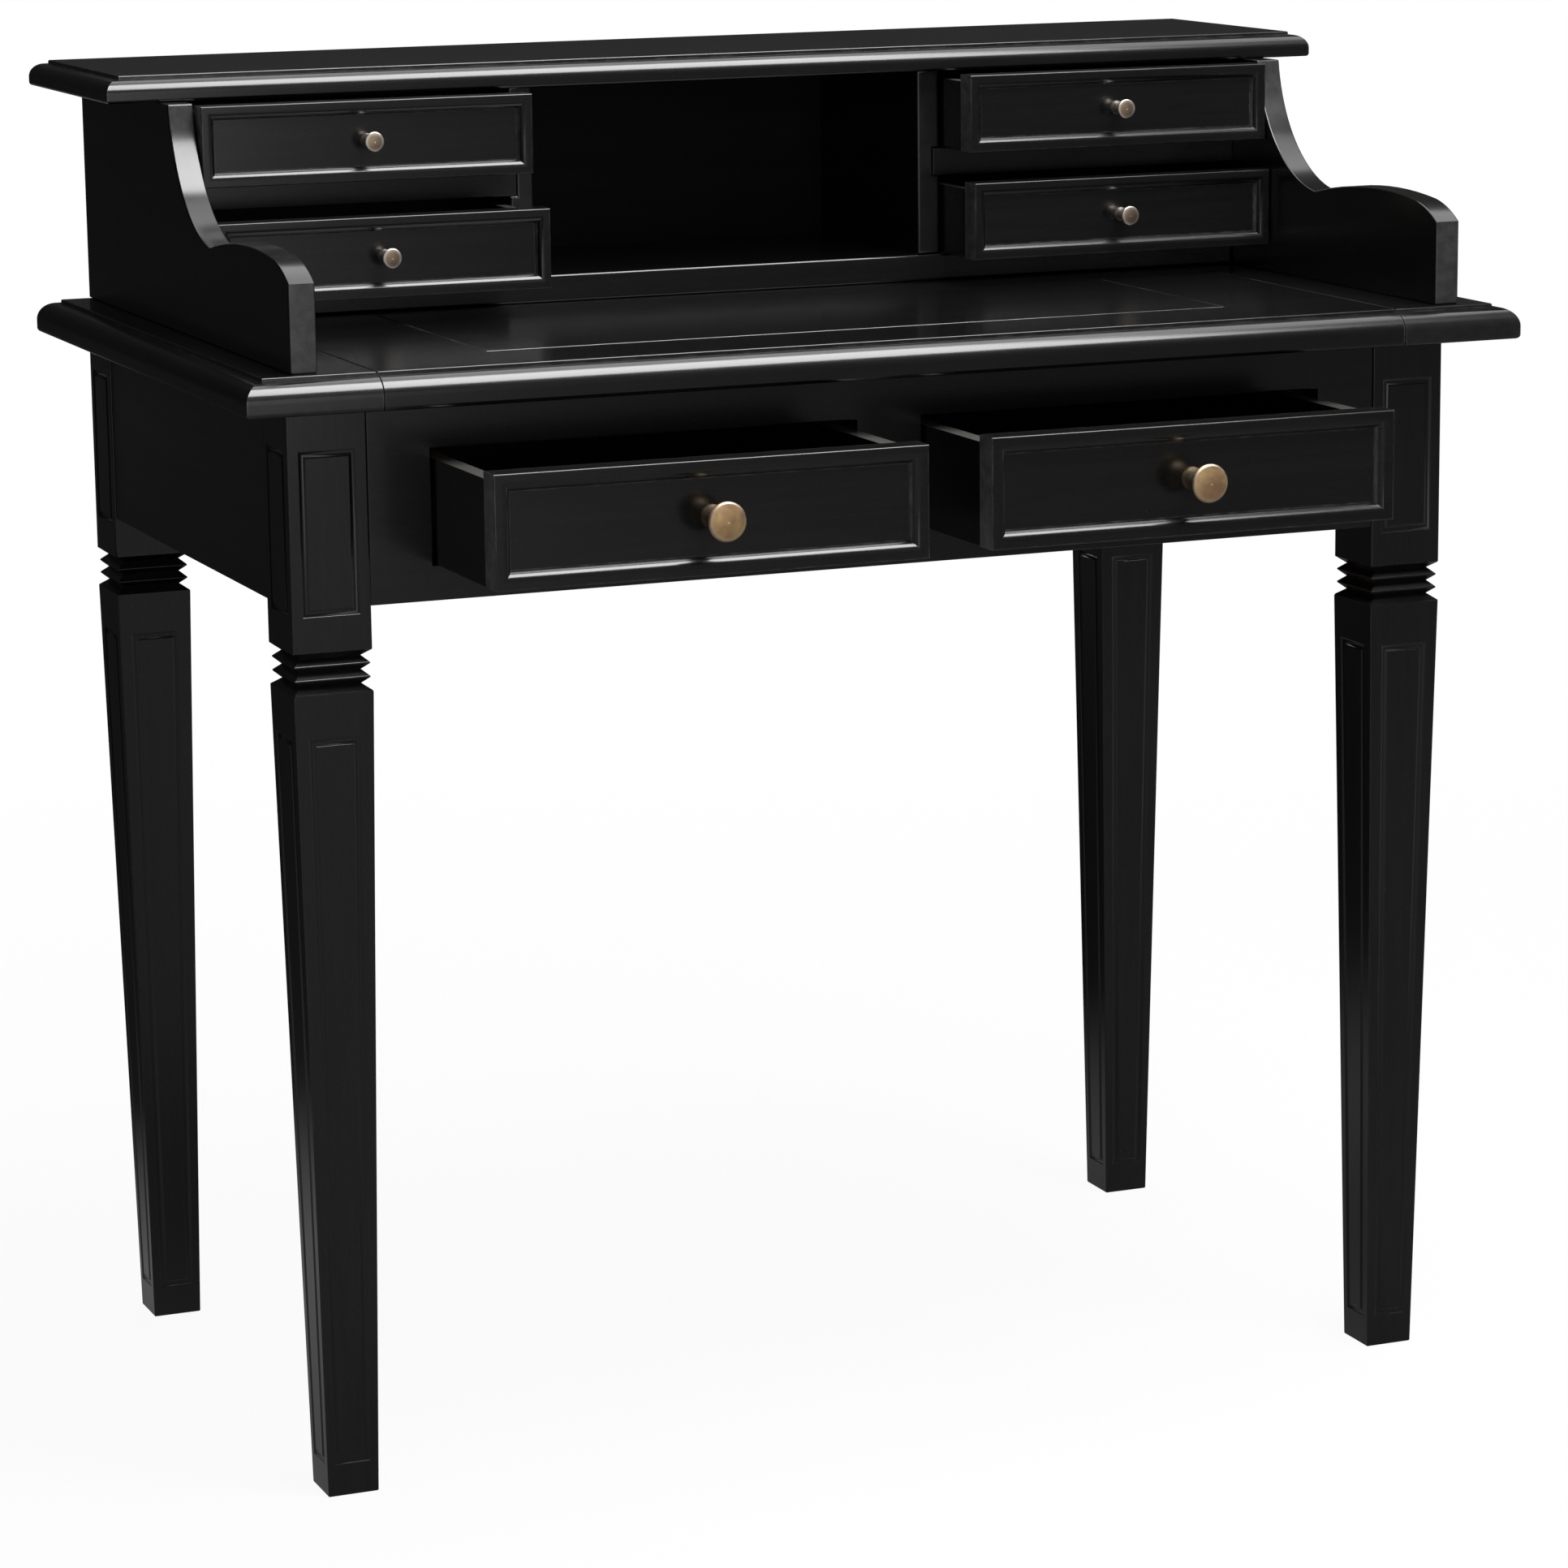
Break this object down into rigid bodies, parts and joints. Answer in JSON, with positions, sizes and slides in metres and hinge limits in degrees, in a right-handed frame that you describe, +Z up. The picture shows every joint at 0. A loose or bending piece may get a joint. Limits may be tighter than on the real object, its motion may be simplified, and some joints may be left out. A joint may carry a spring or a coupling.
{
  "type": "writing desk",
  "caption": "Black lacquered bonheur du jour: a small writing desk on square tapered legs, with drawers under the top and a scrolled gallery of small drawers around an open cubby.",
  "frame": {"origin": "on the floor, in the middle of the whole outline with the drawers pulled out as in the picture", "axes": "+X to the right of someone who sits at the desk, +Y from the sitter to the back, +Z up"},
  "size_m": [0.935, 0.645, 0.9495],
  "materials": {
    "black_lacquered_wood": "satin gloss black lacquer with faint grain",
    "bare_wood": "planed, unpolished",
    "aged_brass": "dulled antique brass",
    "steel": "plain"
  },
  "bodies": {
    "desk": {"leg_front_left": "black_lacquered_wood", "leg_front_right": "black_lacquered_wood", "leg_back_left": "black_lacquered_wood", "leg_back_right": "black_lacquered_wood", "apron_front": "black_lacquered_wood", "apron_back": "black_lacquered_wood", "apron_left": "black_lacquered_wood", "apron_right": "black_lacquered_wood", "drawer_runners": "bare_wood", "top_board": "black_lacquered_wood", "top_end_left": "black_lacquered_wood", "top_end_right": "black_lacquered_wood", "writing_panel": "black_lacquered_wood", "gallery_side_left": "black_lacquered_wood", "gallery_side_right": "black_lacquered_wood", "gallery_top_shelf": "black_lacquered_wood", "gallery_back": "black_lacquered_wood", "gallery_floor": "black_lacquered_wood", "gallery_divider_left": "black_lacquered_wood", "gallery_divider_right": "black_lacquered_wood", "gallery_drawer_shelf_left": "black_lacquered_wood", "gallery_drawer_shelf_right": "black_lacquered_wood", "glue_blocks": "bare_wood", "top_screws": "steel"},
    "large_drawer_left": {"large_drawer_left_front": "black_lacquered_wood", "large_drawer_left_side_left": "black_lacquered_wood", "large_drawer_left_side_right": "black_lacquered_wood", "large_drawer_left_back": "black_lacquered_wood", "large_drawer_left_bottom": "black_lacquered_wood", "large_drawer_left_knob": "aged_brass"},
    "large_drawer_right": {"large_drawer_right_front": "black_lacquered_wood", "large_drawer_right_side_left": "black_lacquered_wood", "large_drawer_right_side_right": "black_lacquered_wood", "large_drawer_right_back": "black_lacquered_wood", "large_drawer_right_bottom": "black_lacquered_wood", "large_drawer_right_knob": "aged_brass"},
    "small_drawer_upper_left": {"small_drawer_upper_left_front": "black_lacquered_wood", "small_drawer_upper_left_side_left": "black_lacquered_wood", "small_drawer_upper_left_side_right": "black_lacquered_wood", "small_drawer_upper_left_back": "black_lacquered_wood", "small_drawer_upper_left_bottom": "black_lacquered_wood", "small_drawer_upper_left_knob": "aged_brass"},
    "small_drawer_lower_left": {"small_drawer_lower_left_front": "black_lacquered_wood", "small_drawer_lower_left_side_left": "black_lacquered_wood", "small_drawer_lower_left_side_right": "black_lacquered_wood", "small_drawer_lower_left_back": "black_lacquered_wood", "small_drawer_lower_left_bottom": "black_lacquered_wood", "small_drawer_lower_left_knob": "aged_brass"},
    "small_drawer_upper_right": {"small_drawer_upper_right_front": "black_lacquered_wood", "small_drawer_upper_right_side_left": "black_lacquered_wood", "small_drawer_upper_right_side_right": "black_lacquered_wood", "small_drawer_upper_right_back": "black_lacquered_wood", "small_drawer_upper_right_bottom": "black_lacquered_wood", "small_drawer_upper_right_knob": "aged_brass"},
    "small_drawer_lower_right": {"small_drawer_lower_right_front": "black_lacquered_wood", "small_drawer_lower_right_side_left": "black_lacquered_wood", "small_drawer_lower_right_side_right": "black_lacquered_wood", "small_drawer_lower_right_back": "black_lacquered_wood", "small_drawer_lower_right_bottom": "black_lacquered_wood", "small_drawer_lower_right_knob": "aged_brass"}
  },
  "joints": [
    {"name": "large_drawer_left_slide", "type": "slide", "parent": "desk", "child": "large_drawer_left", "axis": [0, -1, 0], "range_m": [-0.124, 0.176]},
    {"name": "large_drawer_right_slide", "type": "slide", "parent": "desk", "child": "large_drawer_right", "axis": [0, -1, 0], "range_m": [-0.114, 0.186]},
    {"name": "small_drawer_upper_left_slide", "type": "slide", "parent": "desk", "child": "small_drawer_upper_left", "axis": [0, -1, 0], "range_m": [-0.055, 0.075]},
    {"name": "small_drawer_lower_left_slide", "type": "slide", "parent": "desk", "child": "small_drawer_lower_left", "axis": [0, -1, 0], "range_m": [-0.088, 0.042]},
    {"name": "small_drawer_upper_right_slide", "type": "slide", "parent": "desk", "child": "small_drawer_upper_right", "axis": [0, -1, 0], "range_m": [-0.055, 0.075]},
    {"name": "small_drawer_lower_right_slide", "type": "slide", "parent": "desk", "child": "small_drawer_lower_right", "axis": [0, -1, 0], "range_m": [-0.062, 0.068]}
  ]
}
